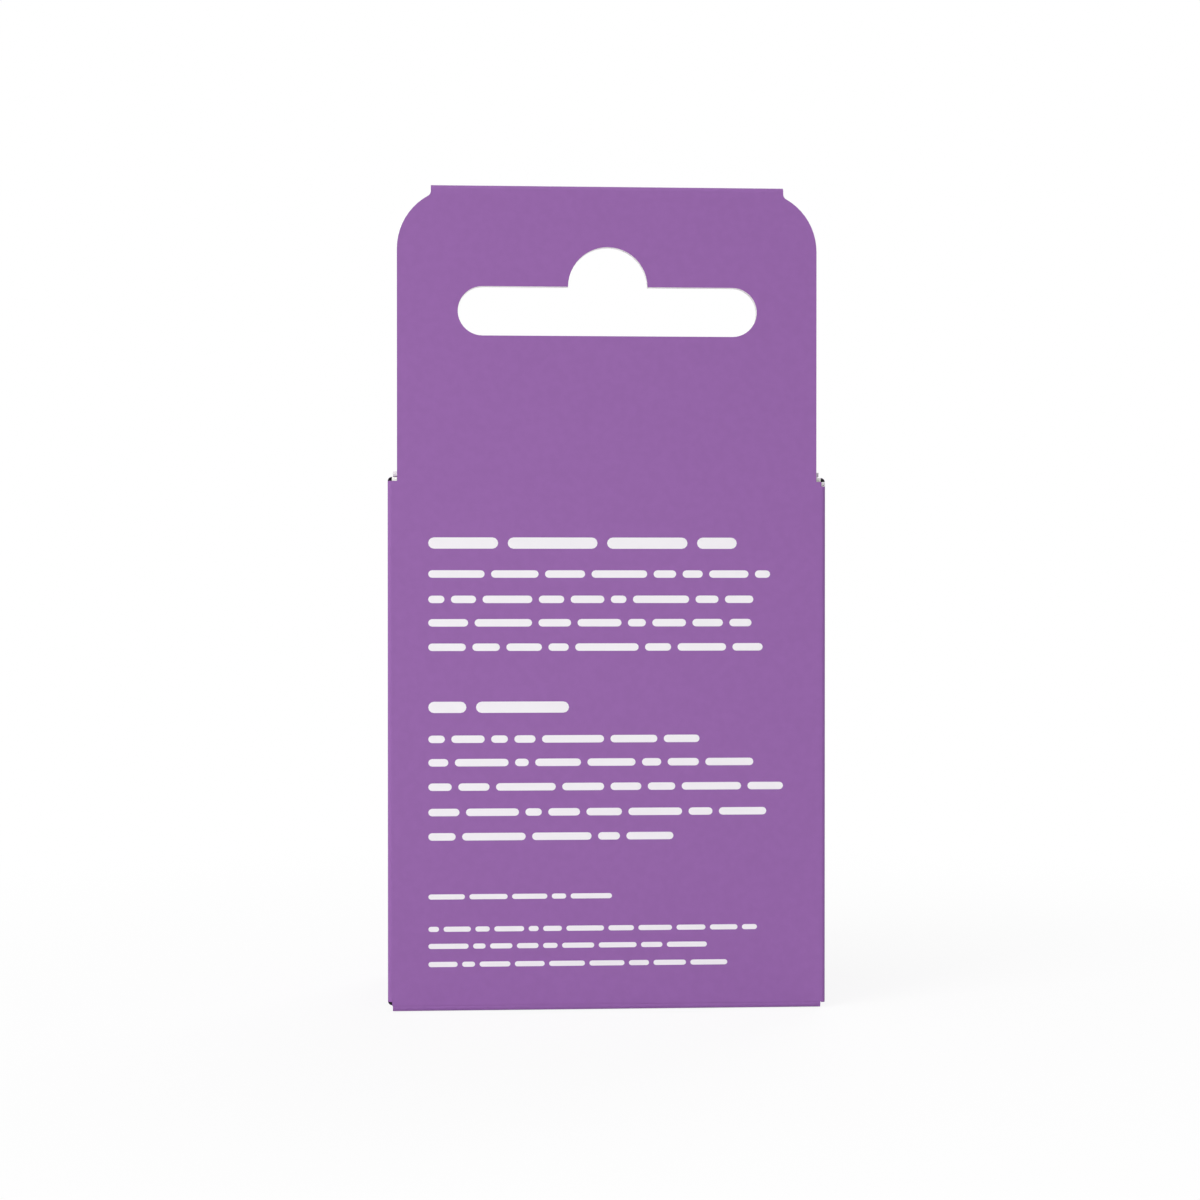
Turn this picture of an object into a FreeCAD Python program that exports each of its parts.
import FreeCAD
import Part
import math
import os

# A hang-tab paperboard carton with tuck ends, and what it holds: a refillable glass floss
# dispenser with a screw cap, and a pouch with one spare floss refill.
# Frame: +Z up, the front panel faces -Y, the hang tab rises from the back panel at +Y, and the
# origin is the middle of the base. Right is +X. Lengths are in millimetres, angles in degrees.
# As on a real carton, the board is cut to fit the contents: the vial, the pouch and the gaps round
# them add up to a body 46.9 wide, 25.0 deep and 57.55 high, and the tab brings it to 88.0.

# Board
BOARD = 0.45                  # caliper of the paperboard
GLUE_LINE = 0.05              # dried glue between two plies
CREASE_CLEARANCE = 0.03       # running gap round a crease bead
FLAP_GAP = 0.15               # air between stacked flaps
SHOULDER_DROP = 1.05          # from the lid's top face down to the back panel's shoulders
SEAM_CREASE_DROP = 0.5        # the rear crease on the seam side sits this much lower

# Hang tab
TAB_HEIGHT = 30.45            # from the lid's top face to the fold
TAB_SIDE_INSET = 1.0          # the tab is this much narrower than the body on each side
TAB_FOLD_INSET = 3.6          # the rolled fold stops this far inside the tab's sides
TAB_CORNER_RADIUS = 6.45
TAB_CORNER_SETBACK = 0.38     # from the fold down to the top of the corner circle
TAB_NOTCH_FILLET = 0.6
SLOT_WIDTH = 32.0             # round-ended hanging slot, with a dome for a single peg
SLOT_HEIGHT = 5.25
SLOT_BELOW_FOLD = 10.75       # from the fold down to the slot's upper edge
DOME_RADIUS = 4.25

# Tuck ends
CLOSURE_INSET = 0.53          # lid and bottom panel stop this short of the sides
FRONT_TOP_DROP = 0.2          # front panel's upper edge below the lid's top face
TUCK_LENGTH = 10.0
TUCK_SIDE_INSET = 1.0
TUCK_CORNER_RADIUS = 4.0
TUCK_GAP = 0.4                # between a tuck flap and the front panel
DUST_LENGTH = 10.0
DUST_MITRE_START = 0.9        # start of the 45 degree mitre, from the closure's hinge
DUST_FRONT_SETBACK = 2.25     # from the tuck flap's inner face
DUST_TAPER = 15.0
DUST_END_GAP = 0.15           # crease bead to the front and back panels
DUST_EAR = 0.62               # width of the strip that runs on past the mitre under the lid
RELIEF_LENGTH = 0.65          # the lid's hinge corners are cut back this far from its hinge
RELIEF_GAP = 0.08             # between that cut and the dust flap's strip

# Side seam
GLUE_FLAP_WIDTH = 9.0
GLUE_FLAP_END = 2.0           # the glue flap stops this far from both ends of the front panel
GLUE_FLAP_TAPER = 15.0
GLUE_FILM_MARGIN = 1.2        # bare rim round a film of glue

# Glass vial
VIAL_DIAMETER = 22.0
VIAL_HEIGHT = 45.0
VIAL_WALL = 1.5
VIAL_BASE = 2.2
VIAL_HEEL = 2.0
NECK_WALL = 1.2
NECK_HEIGHT = 9.0

# Screw cap
THREAD_PITCH = 2.5
THREAD_TURNS = 1.75
THREAD_DEPTH = 0.6            # of the ridge on the glass
THREAD_OVERLAP = 0.4          # how far the two ridges reach past each other
RIDGE_WIDTH = 1.0
RIDGE_CREST = 0.5
RIDGE_ROOT = 0.15             # how far a ridge is let into its wall
THREAD_LEAD = 2.2             # from the neck's foot to the first ridge
CAP_WALL = 0.45
CAP_TOP = 0.5
CAP_SKIRT_GAP = 0.6           # cap's rim above the vial's shoulder
CAP_THREAD_GAP = 0.15         # cap's bore past the ridge on the glass
CAP_EDGE_RADIUS = 1.2
LINER_THICKNESS = 0.8
LINER_GAP = 0.25
EYELET_BORE = 1.4
EYELET_WALL = 0.45
EYELET_FLANGE_WIDTH = 0.8
EYELET_FLANGE = 0.3
EYELET_CLEARANCE = 0.03

# Cutter on the cap
CUTTER_SHEET = 0.3
CUTTER_WIDTH = 5.0
CUTTER_BASE = 5.2
CUTTER_RISE = 1.7
CUTTER_NOTCH = 1.0
CUTTER_OFFSET = 3.4           # from the eyelet's axis to the blade

# Floss
FLOSS_DIAMETER = 0.5
SPOOL_EASE = 0.4              # winding to the bore of the neck, all round
SPOOL_HEIGHT = 20.0
SPOOL_CROWN = 0.6             # the winding is this much thinner at its ends
SPOOL_SEAT_GAP = 0.2
CORE_DIAMETER = 6.0
CORE_WALL = 0.7
CORE_OVERHANG = 0.8           # the core stands out of the winding at both ends
STRAND_INSET = 2.2            # from the winding's rim to where the strand leaves it
STRAND_GAP = 0.2              # strand to the top of the winding
STRAND_RISE = 9.0             # height of the strand's straight climb below the cap
STRAND_BEND = 0.45            # share of the shorter run that a bend takes up
TAIL_CLEARANCE = 0.1          # floss to the sides of the cutter's notch
TAIL_END = 2.6                # free end past the blade
TAIL_DROP = 0.5

# Pouch with the spare refill
POUCH_FILM = 0.25
POUCH_SIDE_EASE = 2.35        # refill to the film, sideways
POUCH_DEPTH_EASE = 0.75       # refill to the film, front and back
POUCH_TOP_EASE = 3.95         # refill's top to where the pouch starts to flatten
POUCH_SEAL_HEIGHT = 6.0
POUCH_SEAL_DEPTH = 0.8

# How the contents stand in the carton
SEAT_GAP = 0.02               # contents to the bottom dust flaps
VIAL_SIDE_GAP = 0.5           # vial to the glue flap
VIAL_POUCH_GAP = 0.8
POUCH_SIDE_GAP = 0.6          # pouch to the right side panel
VIAL_DEPTH_GAP = 0.625        # vial to the tuck flaps in front and to the back panel
CAP_HEADROOM = 7.43           # cutter to the top dust flaps, enough to unscrew the cap
POUCH_HEADROOM = 6.43

# The contents, from the vial outwards
VIAL_RADIUS = VIAL_DIAMETER / 2
CAP_RADIUS = VIAL_RADIUS
CAP_BORE_RADIUS = CAP_RADIUS - CAP_WALL
RIDGE_RADIUS = CAP_BORE_RADIUS - CAP_THREAD_GAP
NECK_RADIUS = RIDGE_RADIUS - THREAD_DEPTH
NECK_BORE = 2 * (NECK_RADIUS - NECK_WALL)
SPOOL_DIAMETER = NECK_BORE - 2 * SPOOL_EASE
POUCH_WIDTH = SPOOL_DIAMETER + 2 * (POUCH_FILM + POUCH_SIDE_EASE)
POUCH_DEPTH = SPOOL_DIAMETER + 2 * (POUCH_FILM + POUCH_DEPTH_EASE)

# The carton round them
SEAM_STACK = 2 * BOARD + GLUE_LINE
BODY_WIDTH = (SEAM_STACK + VIAL_SIDE_GAP + VIAL_DIAMETER + VIAL_POUCH_GAP
              + POUCH_WIDTH + POUCH_SIDE_GAP + BOARD)
BODY_DEPTH = BOARD + TUCK_GAP + BOARD + 2 * VIAL_DEPTH_GAP + VIAL_DIAMETER + BOARD
BOTTOM_DUST_Z = 2 * BOARD + FLAP_GAP
SEAT_Z = BOTTOM_DUST_Z + SEAT_GAP
LIP_Z = SEAT_Z + VIAL_HEIGHT
CAP_UNDER_Z = LIP_Z + LINER_THICKNESS
CAP_TOP_Z = CAP_UNDER_Z + CAP_TOP
TOP_DUST_Z = CAP_TOP_Z + CUTTER_RISE + CAP_HEADROOM
BODY_HEIGHT = TOP_DUST_Z + FLAP_GAP + 2 * BOARD
TOTAL_HEIGHT = BODY_HEIGHT + TAB_HEIGHT
TAB_WIDTH = BODY_WIDTH - 2 * TAB_SIDE_INSET
TAB_FOLD_WIDTH = TAB_WIDTH - 2 * TAB_FOLD_INSET

# Places that follow from the sizes above
HALF_WIDTH = BODY_WIDTH / 2
HALF_DEPTH = BODY_DEPTH / 2
SIDE_IN = HALF_WIDTH - BOARD
BACK_IN = HALF_DEPTH - BOARD
FRONT_IN = -BACK_IN
BEAD_RADIUS = BOARD
BEAD_CUT = BOARD + CREASE_CLEARANCE
SHOULDER_Z = BODY_HEIGHT - SHOULDER_DROP
FOLD_RADIUS = BOARD + GLUE_LINE / 2
FOLD_Y = HALF_DEPTH - FOLD_RADIUS
FOLD_Z = TOTAL_HEIGHT - FOLD_RADIUS
PLY_BACK = BACK_IN - GLUE_LINE
PLY_FRONT = PLY_BACK - BOARD
SLOT_TOP_Z = TOTAL_HEIGHT - SLOT_BELOW_FOLD
SLOT_BOTTOM_Z = SLOT_TOP_Z - SLOT_HEIGHT

# Hinge lines of the flaps: the lid folds at its printed face, the others at their inner face
LID_HINGE = (PLY_FRONT, BODY_HEIGHT)
BOTTOM_HINGE = (BACK_IN, BOARD)
TUCK_INNER_Y = FRONT_IN + TUCK_GAP + BOARD
LID_TUCK_HINGE = (TUCK_INNER_Y, BODY_HEIGHT - BOARD)
BOTTOM_TUCK_HINGE = (TUCK_INNER_Y, BOARD)
CLOSURE_HALF = HALF_WIDTH - CLOSURE_INSET

# Where the glue flap, the vial, the pouch and the floss stand
GLUE_FLAP_X = -(SIDE_IN - GLUE_LINE)
VIAL_X = GLUE_FLAP_X + BOARD + VIAL_SIDE_GAP + VIAL_RADIUS
VIAL_Y = TUCK_INNER_Y + VIAL_DEPTH_GAP + VIAL_RADIUS
NECK_FOOT_Z = LIP_Z - NECK_HEIGHT
CAP_RIM_Z = NECK_FOOT_Z + CAP_SKIRT_GAP
POUCH_X = SIDE_IN - POUCH_SIDE_GAP - POUCH_WIDTH / 2
SPOOL_SEAT_Z = SEAT_Z + VIAL_BASE + SPOOL_SEAT_GAP
REFILL_SEAT_Z = SEAT_Z + POUCH_FILM + SPOOL_SEAT_GAP
REFILL_TOP_Z = REFILL_SEAT_Z + SPOOL_HEIGHT + 2 * CORE_OVERHANG
POUCH_BELLY = REFILL_TOP_Z + POUCH_TOP_EASE - SEAT_Z
POUCH_HEIGHT = TOP_DUST_Z - POUCH_HEADROOM - SEAT_Z
STRAND_START = SPOOL_DIAMETER / 2 - STRAND_INSET
STRAND_FOOT_Z = SPOOL_SEAT_Z + CORE_OVERHANG + SPOOL_HEIGHT + STRAND_GAP + FLOSS_DIAMETER / 2

UP = FreeCAD.Vector(0, 0, 1)
BEYOND = 2 * BOARD            # cutting tools reach this far past what they cut


# Small drawing helpers

def vec(x, y, z):
    return FreeCAD.Vector(x, y, z)


def on_xy(z):
    return lambda a, b: vec(a, b, z)


def on_xz(y):
    return lambda a, b: vec(a, y, b)


def on_yz(x):
    return lambda a, b: vec(x, a, b)


def around(centre, radius, angle):
    """Point of a circle in its own plane, at an angle in degrees."""
    turn = math.radians(angle)
    return (centre[0] + radius * math.cos(turn), centre[1] + radius * math.sin(turn))


def lines(place, points):
    """Straight edges from each point to the next."""
    return [Part.LineSegment(place(*a), place(*b)).toShape() for a, b in zip(points, points[1:])]


def arc(place, centre, radius, start, end):
    """One round edge from the start angle to the end angle."""
    stops = [around(centre, radius, a) for a in (start, (start + end) / 2, end)]
    return Part.Arc(*[place(*p) for p in stops]).toShape()


def face_of(edges):
    return Part.Face(Part.Wire(Part.__sortEdges__(edges)))


def polygon_face(place, points):
    return face_of(lines(place, points + points[:1]))


def box(low, high):
    size = [h - l for l, h in zip(low, high)]
    return Part.makeBox(*size, vec(*low))


def rod(start, end, radius):
    return Part.makeCylinder(radius, (end - start).Length, start, end - start)


def turned(edges, centre_x, centre_y):
    """Solid of revolution of a profile drawn as (radius, height), on a vertical axis."""
    solid = face_of(edges).revolve(vec(0, 0, 0), UP, 360)
    solid.translate(vec(centre_x, centre_y, 0))
    return solid


# Crease beads and flaps

def bead_flap(start, along, reach, outward, length):
    """A flap with a round crease bead on its hinge line: a plate that leaves the line at start.

    along is the hinge line as a vector, reach the way the flap points, outward its printed side.
    """
    def place(u, w):
        return start + reach * u + outward * w

    edges = lines(place, [(BEAD_RADIUS, 0), (length, 0), (length, BOARD), (0, BOARD)])
    edges.append(arc(place, (0, 0), BEAD_RADIUS, 90, 360))
    return face_of(edges).extrude(along)


def trimmed(flap, start, along, reach, outward, edges_of):
    """Keeps what lies inside a plan outline, drawn as (place along the hinge, reach)."""
    side = along.normalize()

    def place(s, u):
        return start + side * s + reach * u - outward * BEYOND

    plan = face_of(edges_of(place)).extrude(outward * (2 * BEYOND + BOARD))
    return flap.common(plan).removeSplitter()


def tuck_flap(hinge, reach, outward):
    """Flap that slips behind the front panel, with two rounded free corners."""
    half = CLOSURE_HALF - TUCK_SIDE_INSET
    start = vec(-half, *hinge)
    along = vec(2 * half, 0, 0)
    flap = bead_flap(start, along, reach, outward, TUCK_LENGTH)
    free = TUCK_LENGTH - TUCK_CORNER_RADIUS
    inner = TUCK_CORNER_RADIUS
    far = 2 * half - TUCK_CORNER_RADIUS

    def outline(place):
        edges = lines(place, [(0, free), (0, -BEYOND), (2 * half, -BEYOND), (2 * half, free)])
        edges.append(arc(place, (far, free), TUCK_CORNER_RADIUS, 0, 90))
        edges += lines(place, [(far, TUCK_LENGTH), (inner, TUCK_LENGTH)])
        edges.append(arc(place, (inner, free), TUCK_CORNER_RADIUS, 90, 180))
        return edges

    return trimmed(flap, start, along, reach, outward, outline)


def dust_flap(side, hinge_z, outward, closure_hinge_y, ear):
    """Small flap on a side panel, mitred at the back and tapered at the front.

    side is +1 on the right and -1 on the left. The bead runs on past the mitre to the back panel,
    with a strip of the flap as wide as ear.
    """
    front_y = FRONT_IN + DUST_END_GAP
    start = vec(side * SIDE_IN, front_y, hinge_z)
    along = vec(0, BACK_IN - DUST_END_GAP - front_y, 0)
    reach = vec(-side, 0, 0)
    flap = bead_flap(start, along, reach, outward, DUST_LENGTH)
    full = along.Length
    front = TUCK_INNER_Y + DUST_FRONT_SETBACK - front_y
    back = closure_hinge_y - DUST_MITRE_START - front_y
    lean = DUST_LENGTH * math.tan(math.radians(DUST_TAPER))

    def outline(place):
        points = [(0, -BEYOND), (0, 0), (front, 0), (front + lean, DUST_LENGTH)]
        points += [(back - DUST_LENGTH, DUST_LENGTH), (back - ear, ear), (full, ear), (full, -BEYOND)]
        return lines(place, points + points[:1])

    return trimmed(flap, start, along, reach, outward, outline)


# Hang tab outline, shared by its two plies

def tab_side_edges(place, side, foot_z):
    """One side of the hang tab: straight edge, round corner, and the notch at the fold's end."""
    half = TAB_WIDTH / 2
    fold_half = TAB_FOLD_WIDTH / 2
    corner = (half - TAB_CORNER_RADIUS, TOTAL_HEIGHT - TAB_CORNER_SETBACK - TAB_CORNER_RADIUS)
    reach = TAB_CORNER_RADIUS + TAB_NOTCH_FILLET
    across = fold_half + TAB_NOTCH_FILLET - corner[0]
    meet = math.degrees(math.acos(across / reach))
    fillet_z = corner[1] + reach * math.sin(math.radians(meet))

    def sided(a, b):
        return place(side * a, b)

    edges = lines(sided, [(half, foot_z), (half, corner[1])])
    edges.append(arc(sided, corner, TAB_CORNER_RADIUS, 0, meet))
    edges.append(arc(sided, (fold_half + TAB_NOTCH_FILLET, fillet_z), TAB_NOTCH_FILLET, 180 + meet, 180))
    edges += lines(sided, [(fold_half, fillet_z), (fold_half, FOLD_Z)])
    return edges


def tab_top_edge(place):
    return lines(place, [(TAB_FOLD_WIDTH / 2, FOLD_Z), (-TAB_FOLD_WIDTH / 2, FOLD_Z)])


def hang_slot(y_low, y_high):
    """Cutter for the hanging slot: a long round-ended slot with a half-round dome on top."""
    place = on_xz(y_low)
    end_radius = SLOT_HEIGHT / 2
    end_x = SLOT_WIDTH / 2 - end_radius
    mid_z = SLOT_BOTTOM_Z + end_radius
    edges = lines(place, [(-DOME_RADIUS, SLOT_TOP_Z), (-end_x, SLOT_TOP_Z)])
    edges.append(arc(place, (-end_x, mid_z), end_radius, 90, 270))
    edges += lines(place, [(-end_x, SLOT_BOTTOM_Z), (end_x, SLOT_BOTTOM_Z)])
    edges.append(arc(place, (end_x, mid_z), end_radius, -90, 90))
    edges += lines(place, [(end_x, SLOT_TOP_Z), (DOME_RADIUS, SLOT_TOP_Z)])
    edges.append(arc(place, (0, SLOT_TOP_Z), DOME_RADIUS, 0, 180))
    return face_of(edges).extrude(vec(0, y_high - y_low, 0))


# Carton panels

def back_panel():
    """Back panel and the rear ply of the hang tab, one flat sheet."""
    place = on_xz(BACK_IN)
    half = TAB_WIDTH / 2
    edges = tab_side_edges(place, 1, SHOULDER_Z) + tab_side_edges(place, -1, SHOULDER_Z)
    edges += tab_top_edge(place)
    foot = [(-half, SHOULDER_Z), (-SIDE_IN, SHOULDER_Z), (-SIDE_IN, BOTTOM_HINGE[1])]
    foot += [(SIDE_IN, BOTTOM_HINGE[1]), (SIDE_IN, SHOULDER_Z), (half, SHOULDER_Z)]
    edges += lines(place, foot)
    sheet = face_of(edges).extrude(vec(0, BOARD, 0))
    crease = rod(vec(-HALF_WIDTH, *BOTTOM_HINGE), vec(HALF_WIDTH, *BOTTOM_HINGE), BEAD_CUT)
    return sheet.cut(crease).cut(hang_slot(BACK_IN - BEYOND, HALF_DEPTH + BEYOND))


def hang_tab_front_ply():
    """Front ply of the hang tab, with the rolled fold along its top."""
    place = on_xz(PLY_FRONT)
    half = TAB_WIDTH / 2
    edges = tab_side_edges(place, 1, BODY_HEIGHT) + tab_side_edges(place, -1, BODY_HEIGHT)
    edges += tab_top_edge(place) + lines(place, [(-half, BODY_HEIGHT), (half, BODY_HEIGHT)])
    sheet = face_of(edges).extrude(vec(0, BOARD, 0))
    profile = on_yz(-TAB_FOLD_WIDTH / 2)
    roll = [arc(profile, (FOLD_Y, FOLD_Z), FOLD_RADIUS, 0, 180)]
    roll += lines(profile, [(FOLD_Y - FOLD_RADIUS, FOLD_Z), (FOLD_Y + FOLD_RADIUS, FOLD_Z)])
    fold = face_of(roll).extrude(vec(TAB_FOLD_WIDTH, 0, 0))
    return sheet.cut(hang_slot(PLY_FRONT - BEYOND, PLY_BACK + BEYOND)).fuse(fold).removeSplitter()


def corner_round(side, y, start, end, low_z, high_z):
    """Quarter-round of board on a vertical crease, outside the corner of two inner faces."""
    place = on_xy(low_z)
    centre = (side * SIDE_IN, y)
    edges = [arc(place, centre, BOARD, start, end)]
    edges += lines(place, [around(centre, BOARD, end), centre, around(centre, BOARD, start)])
    return face_of(edges).extrude(vec(0, 0, high_z - low_z))


def side_panel(side, crease_drop):
    """Side panel between the beads of its two dust flaps, with the rounded creases it shares."""
    inner, outer = sorted((side * SIDE_IN, side * HALF_WIDTH))
    plate = box((inner, FRONT_IN, BOTTOM_DUST_Z), (outer, BACK_IN, TOP_DUST_Z))
    for z in (BOTTOM_DUST_Z, TOP_DUST_Z):
        hinge_x = side * SIDE_IN
        plate = plate.cut(rod(vec(hinge_x, -HALF_DEPTH, z), vec(hinge_x, HALF_DEPTH, z), BEAD_CUT))
    start, end = (0, 90) if side > 0 else (90, 180)
    low_z, high_z = BOTTOM_DUST_Z - crease_drop, SHOULDER_Z - crease_drop
    return plate.fuse(corner_round(side, BACK_IN, start, end, low_z, high_z))


def side_panel_right():
    plate = side_panel(1, 0)
    front_crease = corner_round(1, FRONT_IN, -90, 0, BOTTOM_DUST_Z, SHOULDER_Z)
    return plate.fuse(front_crease).removeSplitter()


def side_panel_left():
    """Seam side: its front edge is a raw cut that covers the glue flap."""
    return side_panel(-1, SEAM_CREASE_DROP).removeSplitter()


def front_panel():
    """Front panel with a free upper and lower edge, and the crease to the glue flap on its left."""
    top_z = BODY_HEIGHT - FRONT_TOP_DROP
    place = on_xy(0)
    crease_x = GLUE_FLAP_X + BOARD
    edges = [arc(place, (crease_x, FRONT_IN), BOARD, 180, 270)]
    points = [(crease_x, -HALF_DEPTH), (SIDE_IN, -HALF_DEPTH), (SIDE_IN, FRONT_IN), (GLUE_FLAP_X, FRONT_IN)]
    edges += lines(place, points)
    return face_of(edges).extrude(vec(0, 0, top_z))


def glue_flap():
    """Flap glued to the inside of the left side panel, with tapered ends."""
    low_z = GLUE_FLAP_END
    high_z = BODY_HEIGHT - FRONT_TOP_DROP - GLUE_FLAP_END
    lean = GLUE_FLAP_WIDTH * math.tan(math.radians(GLUE_FLAP_TAPER))
    far_y = FRONT_IN + GLUE_FLAP_WIDTH
    points = [(FRONT_IN, low_z), (far_y, low_z + lean), (far_y, high_z - lean), (FRONT_IN, high_z)]
    return polygon_face(on_yz(GLUE_FLAP_X), points).extrude(vec(BOARD, 0, 0))


def seam_glue():
    """Film of glue between the glue flap and the left side panel."""
    lean = GLUE_FLAP_WIDTH * math.tan(math.radians(GLUE_FLAP_TAPER))
    low_z = GLUE_FLAP_END + lean + GLUE_FILM_MARGIN
    high_z = BODY_HEIGHT - FRONT_TOP_DROP - GLUE_FLAP_END - lean - GLUE_FILM_MARGIN
    front_y = FRONT_IN + GLUE_FILM_MARGIN
    back_y = FRONT_IN + GLUE_FLAP_WIDTH - GLUE_FILM_MARGIN
    return box((-SIDE_IN, front_y, low_z), (GLUE_FLAP_X, back_y, high_z))


def hang_tab_glue():
    """Film of glue between the two plies of the hang tab, below the slot."""
    half = TAB_WIDTH / 2 - GLUE_FILM_MARGIN
    low_z = BODY_HEIGHT + GLUE_FILM_MARGIN
    return box((-half, PLY_BACK, low_z), (half, BACK_IN, SLOT_BOTTOM_Z - GLUE_FILM_MARGIN))


# Closures

def lid_panel():
    """Lid: it folds forward from the front ply, round at the back and hollowed for the tuck bead.

    Its hinge corners are cut back, so that the strips of the dust flaps can turn past them.
    """
    place = on_yz(-CLOSURE_HALF)
    y, z = LID_HINGE
    edges = [arc(place, LID_HINGE, BOARD, -90, 0)]
    edges += lines(place, [(y + BOARD, z), (TUCK_INNER_Y, z), (TUCK_INNER_Y, z - BOARD), (y, z - BOARD)])
    plate = face_of(edges).extrude(vec(2 * CLOSURE_HALF, 0, 0))
    bead = rod(vec(-HALF_WIDTH, *LID_TUCK_HINGE), vec(HALF_WIDTH, *LID_TUCK_HINGE), BEAD_CUT)
    relief_x = SIDE_IN - DUST_EAR - RELIEF_GAP
    front, back = y - RELIEF_LENGTH, y + BEYOND
    right = box((relief_x, front, z - BEYOND), (HALF_WIDTH, back, z + BEYOND))
    left = box((-HALF_WIDTH, front, z - BEYOND), (-relief_x, back, z + BEYOND))
    return plate.cut(bead).cut(right).cut(left)


def bottom_panel():
    """Bottom panel, with the crease bead that hangs it on the back panel."""
    start = vec(-CLOSURE_HALF, *BOTTOM_HINGE)
    along = vec(2 * CLOSURE_HALF, 0, 0)
    plate = bead_flap(start, along, vec(0, -1, 0), -UP, BOTTOM_HINGE[0] - TUCK_INNER_Y)
    bead = rod(vec(-HALF_WIDTH, *BOTTOM_TUCK_HINGE), vec(HALF_WIDTH, *BOTTOM_TUCK_HINGE), BEAD_CUT)
    return plate.cut(bead)


def lid_tuck_flap():
    return tuck_flap(LID_TUCK_HINGE, -UP, vec(0, -1, 0))


def bottom_tuck_flap():
    return tuck_flap(BOTTOM_TUCK_HINGE, UP, vec(0, -1, 0))


def lid_dust_flap(side):
    return dust_flap(side, TOP_DUST_Z, UP, LID_HINGE[0], DUST_EAR)


def bottom_dust_flap(side):
    return dust_flap(side, BOTTOM_DUST_Z, -UP, BOTTOM_HINGE[0], 0)


# Glass dispenser

def thread_ridge(root_radius, crest_radius, start_z):
    """One right-hand ridge of the screw thread, swept along its helix."""
    place = on_xz(0)
    inward = RIDGE_ROOT if crest_radius > root_radius else -RIDGE_ROOT
    root, crest = RIDGE_WIDTH / 2, RIDGE_CREST / 2
    points = [(root_radius - inward, -root), (crest_radius, -crest)]
    points += [(crest_radius, crest), (root_radius - inward, root)]
    section = Part.Wire(lines(place, points + points[:1]))
    helix = Part.makeHelix(THREAD_PITCH, THREAD_PITCH * THREAD_TURNS, root_radius)
    ridge = Part.Wire(helix.Edges).makePipeShell([section], True, True)
    ridge.translate(vec(VIAL_X, VIAL_Y, start_z))
    return ridge


def glass_vial():
    """Wide-mouthed vial with a rounded heel, a threaded neck and a bore that lets the spool in."""
    place = on_xz(0)
    inner = VIAL_RADIUS - VIAL_WALL
    bore = NECK_BORE / 2
    floor_z = SEAT_Z + VIAL_BASE
    heel_z = SEAT_Z + VIAL_HEEL
    shoulder = VIAL_RADIUS - NECK_RADIUS
    drop = inner - bore
    body_z = NECK_FOOT_Z - shoulder
    edges = lines(place, [(0, floor_z), (0, SEAT_Z), (VIAL_RADIUS - VIAL_HEEL, SEAT_Z)])
    edges.append(arc(place, (VIAL_RADIUS - VIAL_HEEL, heel_z), VIAL_HEEL, -90, 0))
    edges += lines(place, [(VIAL_RADIUS, heel_z), (VIAL_RADIUS, body_z)])
    edges.append(arc(place, (NECK_RADIUS, body_z), shoulder, 0, 90))
    edges += lines(place, [(NECK_RADIUS, NECK_FOOT_Z), (NECK_RADIUS, LIP_Z), (bore, LIP_Z)])
    edges += lines(place, [(bore, LIP_Z), (bore, NECK_FOOT_Z - VIAL_WALL)])
    edges += lines(place, [(bore, NECK_FOOT_Z - VIAL_WALL), (inner, NECK_FOOT_Z - VIAL_WALL - drop)])
    edges += lines(place, [(inner, NECK_FOOT_Z - VIAL_WALL - drop), (inner, floor_z), (0, floor_z)])
    vial = turned(edges, VIAL_X, VIAL_Y)
    return vial.fuse(thread_ridge(NECK_RADIUS, RIDGE_RADIUS, NECK_FOOT_Z + THREAD_LEAD))


def screw_cap():
    """Metal cap with a rounded top edge, a ridge inside its skirt and a hole for the eyelet."""
    place = on_xz(0)
    turn = CAP_TOP_Z - CAP_EDGE_RADIUS
    hole = EYELET_BORE / 2 + EYELET_WALL + EYELET_CLEARANCE
    flat = CAP_RADIUS - CAP_EDGE_RADIUS
    edges = lines(place, [(hole, CAP_UNDER_Z), (hole, CAP_TOP_Z), (flat, CAP_TOP_Z)])
    edges.append(arc(place, (flat, turn), CAP_EDGE_RADIUS, 90, 0))
    edges += lines(place, [(CAP_RADIUS, turn), (CAP_RADIUS, CAP_RIM_Z), (CAP_BORE_RADIUS, CAP_RIM_Z)])
    inner_turn = CAP_EDGE_RADIUS - CAP_WALL
    edges += lines(place, [(CAP_BORE_RADIUS, CAP_RIM_Z), (CAP_BORE_RADIUS, CAP_UNDER_Z - inner_turn)])
    edges.append(arc(place, (CAP_BORE_RADIUS - inner_turn, CAP_UNDER_Z - inner_turn), inner_turn, 0, 90))
    edges += lines(place, [(CAP_BORE_RADIUS - inner_turn, CAP_UNDER_Z), (hole, CAP_UNDER_Z)])
    shell = turned(edges, VIAL_X, VIAL_Y)
    start_z = NECK_FOOT_Z + THREAD_LEAD + THREAD_PITCH / 2
    return shell.fuse(thread_ridge(CAP_BORE_RADIUS, RIDGE_RADIUS - THREAD_OVERLAP, start_z))


def cap_liner():
    """Soft sealing disc between the glass lip and the cap."""
    axis = vec(VIAL_X, VIAL_Y, LIP_Z)
    disc = Part.makeCylinder(NECK_RADIUS - LINER_GAP, LINER_THICKNESS, axis)
    hole = EYELET_BORE / 2 + EYELET_WALL + EYELET_CLEARANCE
    return disc.cut(Part.makeCylinder(hole, LINER_THICKNESS, axis))


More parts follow.
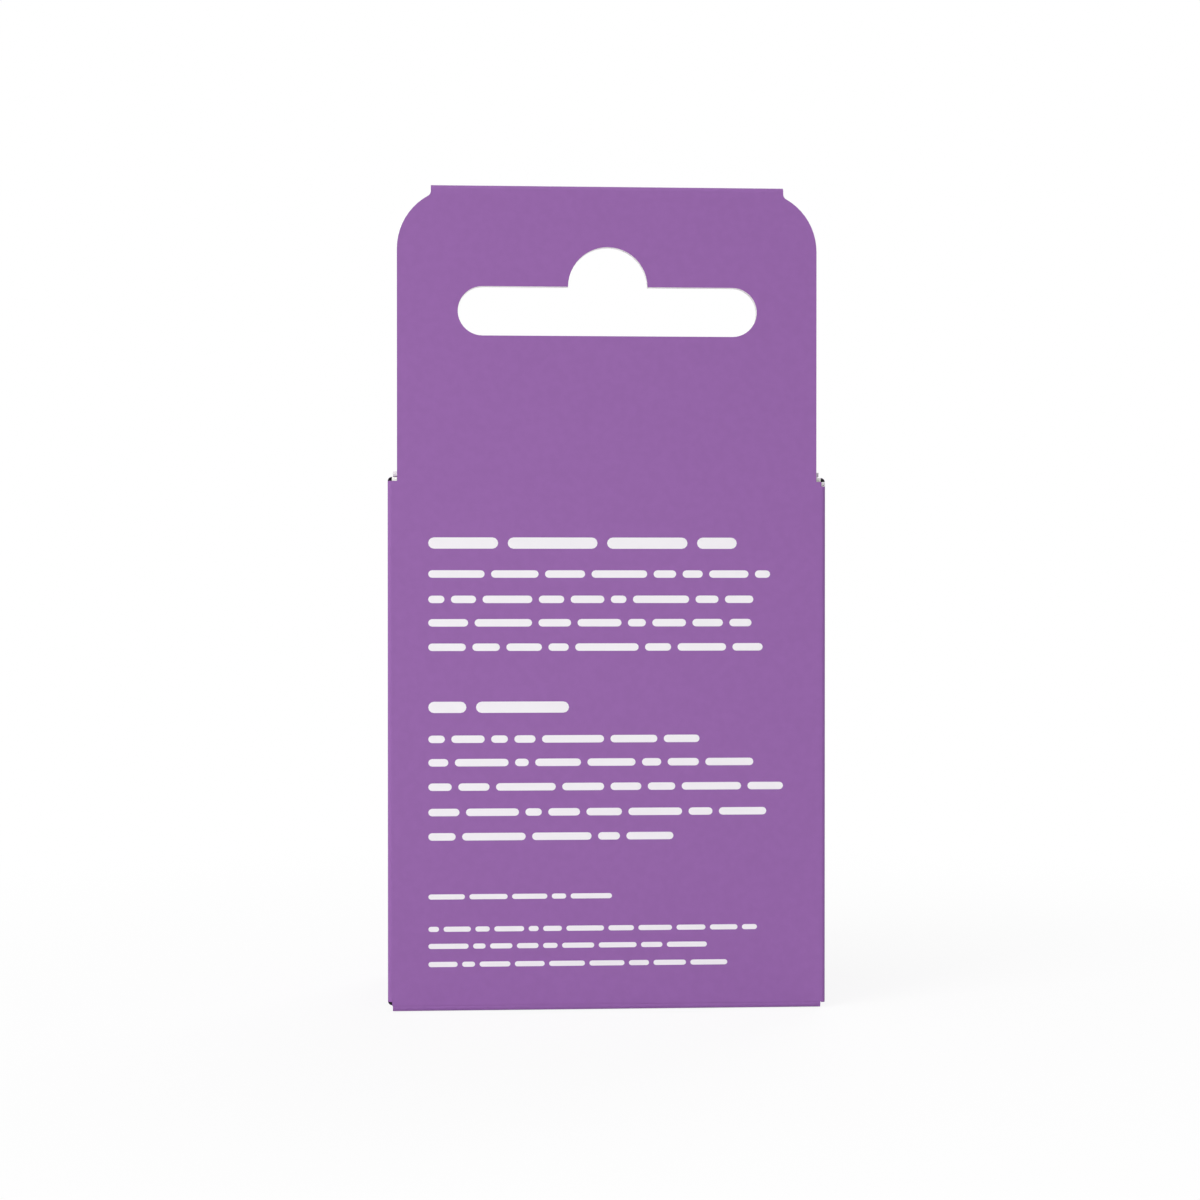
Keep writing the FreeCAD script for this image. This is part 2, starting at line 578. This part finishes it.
def exit_eyelet():
    """Flanged bush that leads the floss through the cap."""
    place = on_xz(0)
    bore = EYELET_BORE / 2
    barrel = bore + EYELET_WALL
    flange = barrel + EYELET_FLANGE_WIDTH
    top = CAP_TOP_Z + EYELET_FLANGE
    points = [(bore, LIP_Z), (barrel, LIP_Z), (barrel, CAP_TOP_Z)]
    points += [(flange, CAP_TOP_Z), (flange, top), (bore, top)]
    return turned(lines(place, points + points[:1]), VIAL_X, VIAL_Y)


def cutter_blade():
    """Bent steel strip on the cap's top: a flat base, and an upright blade with a V notch."""
    half = CUTTER_WIDTH / 2
    blade_x = VIAL_X + CUTTER_OFFSET
    base_end = (blade_x + CUTTER_BASE, VIAL_Y + half, CAP_TOP_Z + CUTTER_SHEET)
    base = box((blade_x, VIAL_Y - half, CAP_TOP_Z), base_end)
    top = CAP_TOP_Z + CUTTER_RISE
    notch = CUTTER_NOTCH / 2
    points = [(VIAL_Y - half, CAP_TOP_Z), (VIAL_Y + half, CAP_TOP_Z), (VIAL_Y + half, top)]
    points += [(VIAL_Y + notch, top), (VIAL_Y, top - CUTTER_NOTCH), (VIAL_Y - notch, top)]
    points.append((VIAL_Y - half, top))
    blade = polygon_face(on_yz(blade_x), points).extrude(vec(CUTTER_SHEET, 0, 0))
    return base.fuse(blade).removeSplitter()


# Floss

def spool_core(centre_x, centre_y, seat_z):
    """Paper tube that the floss is wound on."""
    axis = vec(centre_x, centre_y, seat_z)
    height = SPOOL_HEIGHT + 2 * CORE_OVERHANG
    tube = Part.makeCylinder(CORE_DIAMETER / 2, height, axis)
    return tube.cut(Part.makeCylinder(CORE_DIAMETER / 2 - CORE_WALL, height, axis))


def floss_winding(centre_x, centre_y, seat_z):
    """Wound floss: a barrel on the core, a little fuller in the middle."""
    place = on_xz(0)
    core = CORE_DIAMETER / 2
    low = seat_z + CORE_OVERHANG
    high = low + SPOOL_HEIGHT
    end = SPOOL_DIAMETER / 2 - SPOOL_CROWN
    edges = lines(place, [(end, high), (core, high), (core, low), (end, low)])
    belly = Part.Arc(place(end, low), place(SPOOL_DIAMETER / 2, (low + high) / 2), place(end, high))
    edges.append(belly.toShape())
    return turned(edges, centre_x, centre_y)


def floss_tube(points):
    """Round floss along straight runs, joined by tangent bends as large as the runs allow."""
    edges = []
    place = points[0]
    for before, corner, after in zip(points, points[1:], points[2:]):
        came, goes = (corner - before), (after - corner)
        take = STRAND_BEND * min(came.Length, goes.Length)
        came.normalize()
        goes.normalize()
        start, end = corner - came * take, corner + goes * take
        half_turn = came.getAngle(goes) / 2
        radius = take / math.tan(half_turn)
        towards = (goes - came).normalize()
        centre = corner + towards * (radius / math.cos(half_turn))
        print("floss bend radius", round(radius, 2))
        edges.append(Part.LineSegment(place, start).toShape())
        edges.append(Part.Arc(start, centre - towards * radius, end).toShape())
        place = end
    edges.append(Part.LineSegment(place, points[-1]).toShape())
    path = Part.Wire(edges)
    section = Part.Wire(Part.makeCircle(FLOSS_DIAMETER / 2, points[0], points[1] - points[0]))
    return path.makePipeShell([section], True, False)


def floss_strand():
    """Strand from the spool up to the cap, inside the vial."""
    start = vec(VIAL_X + STRAND_START, VIAL_Y, STRAND_FOOT_Z)
    return floss_tube([start, vec(VIAL_X, VIAL_Y, LIP_Z - STRAND_RISE), vec(VIAL_X, VIAL_Y, LIP_Z)])


def floss_tail():
    """Strand through the eyelet and over the cap's top, held in the cutter's notch."""
    notch_lean = math.atan(0.5)   # the notch is as wide as it is deep
    lift = (FLOSS_DIAMETER / 2 + TAIL_CLEARANCE) / math.sin(notch_lean)
    over = CAP_TOP_Z + CUTTER_RISE - CUTTER_NOTCH + lift
    blade_x = VIAL_X + CUTTER_OFFSET
    points = [vec(VIAL_X, VIAL_Y, LIP_Z), vec(VIAL_X, VIAL_Y, over), vec(blade_x, VIAL_Y, over)]
    return floss_tube(points + [vec(blade_x + TAIL_END, VIAL_Y, over - TAIL_DROP)])


# Pouch with the spare refill

def pouch_skin(inset):
    """Stand-up bag: a full belly that flattens into a crimped seal along its top."""
    levels = [(0, POUCH_DEPTH), (POUCH_BELLY, POUCH_DEPTH)]
    levels += [(POUCH_HEIGHT - POUCH_SEAL_HEIGHT, POUCH_SEAL_DEPTH)]
    if inset == 0:
        levels.append((POUCH_HEIGHT, POUCH_SEAL_DEPTH))
    sections = []
    for height, depth in levels:
        lift = inset if height == 0 else 0
        middle = vec(POUCH_X, VIAL_Y, SEAT_Z + height + lift)
        shape = Part.Ellipse(middle, POUCH_WIDTH / 2 - inset, depth / 2 - inset).toShape()
        sections.append(Part.Wire(shape))
    return Part.makeLoft(sections, True, True)


def inner_pouch():
    return pouch_skin(0).cut(pouch_skin(POUCH_FILM))


# Every node of the part, by name
NODES = {
    "back_panel": back_panel,
    "hang_tab_front_ply": hang_tab_front_ply,
    "hang_tab_glue": hang_tab_glue,
    "side_panel_right": side_panel_right,
    "side_panel_left": side_panel_left,
    "front_panel": front_panel,
    "glue_flap": glue_flap,
    "seam_glue": seam_glue,
    "lid_panel": lid_panel,
    "lid_tuck_flap": lid_tuck_flap,
    "lid_dust_flap_right": lambda: lid_dust_flap(1),
    "lid_dust_flap_left": lambda: lid_dust_flap(-1),
    "bottom_panel": bottom_panel,
    "bottom_tuck_flap": bottom_tuck_flap,
    "bottom_dust_flap_right": lambda: bottom_dust_flap(1),
    "bottom_dust_flap_left": lambda: bottom_dust_flap(-1),
    "glass_vial": glass_vial,
    "screw_cap": screw_cap,
    "cap_liner": cap_liner,
    "exit_eyelet": exit_eyelet,
    "cutter_blade": cutter_blade,
    "spool_core": lambda: spool_core(VIAL_X, VIAL_Y, SPOOL_SEAT_Z),
    "floss_spool": lambda: floss_winding(VIAL_X, VIAL_Y, SPOOL_SEAT_Z),
    "floss_strand": floss_strand,
    "floss_tail": floss_tail,
    "inner_pouch": inner_pouch,
    "refill_core": lambda: spool_core(POUCH_X, VIAL_Y, REFILL_SEAT_Z),
    "refill_floss": lambda: floss_winding(POUCH_X, VIAL_Y, REFILL_SEAT_Z),
}


def main():
    os.makedirs("parts", exist_ok=True)
    for name, make in NODES.items():
        shape = make()
        print(name, "valid" if shape.isValid() else "NOT VALID", len(shape.Solids), round(shape.Volume, 3))
        shape.exportStep(os.path.join("parts", name + ".step"))


if __name__ == "__main__":
    main()
